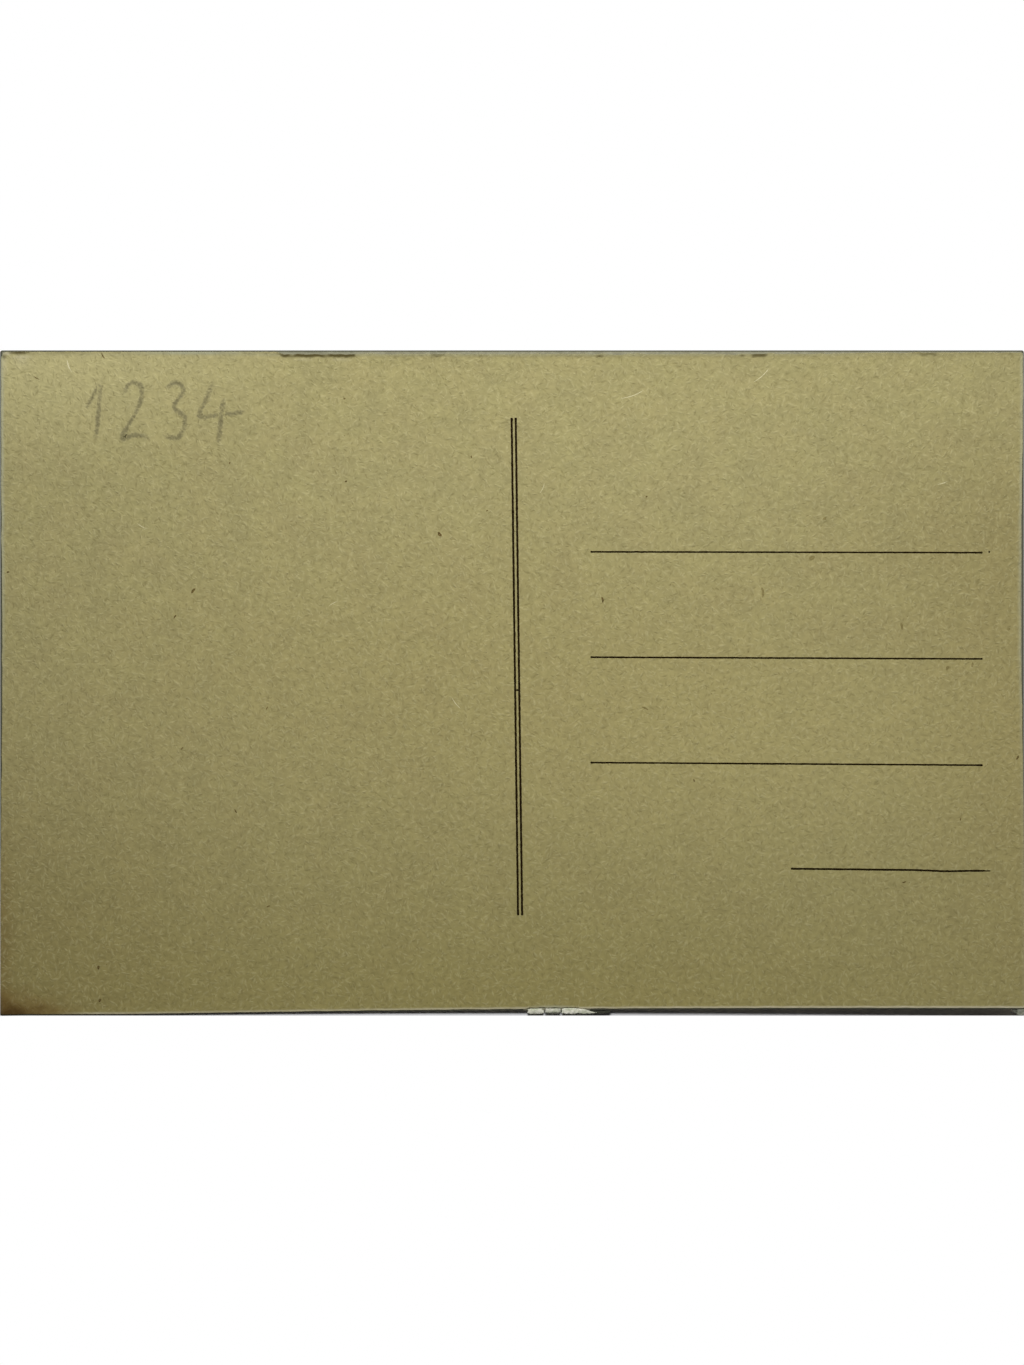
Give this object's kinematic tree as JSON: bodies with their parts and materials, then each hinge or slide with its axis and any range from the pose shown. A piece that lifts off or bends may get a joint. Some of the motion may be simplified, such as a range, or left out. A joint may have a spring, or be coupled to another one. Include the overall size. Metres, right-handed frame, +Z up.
{
  "type": "postcard",
  "caption": "Old picture postcard of pasted board, address side up, with a printed dividing rule, address rules, worn edges and a corner that curls up a little.",
  "frame": {"origin": "under the middle of the card, on the surface that it lies on", "axes": "+X along the long side to the right as the address is read, +Y towards the top edge, +Z up out of the address side"},
  "size_m": [0.14, 0.091, 0.0017],
  "materials": {
    "buff_paper": "matte",
    "starch_paste": "matte",
    "grey_board": "matte",
    "white_paper": "matte",
    "clay_coat": "satin",
    "picture_print": "satin",
    "rule_ink": "matte"
  },
  "bodies": {
    "root": {"address_ply": "buff_paper", "address_paste": "starch_paste", "core_ply": "grey_board", "picture_paste": "starch_paste", "picture_ply": "white_paper", "picture_coat": "clay_coat", "picture_ink": "picture_print", "divider_rule_left": "rule_ink", "divider_rule_right": "rule_ink", "address_rule_1": "rule_ink", "address_rule_2": "rule_ink", "address_rule_3": "rule_ink", "town_rule": "rule_ink"}
  },
  "joints": []
}
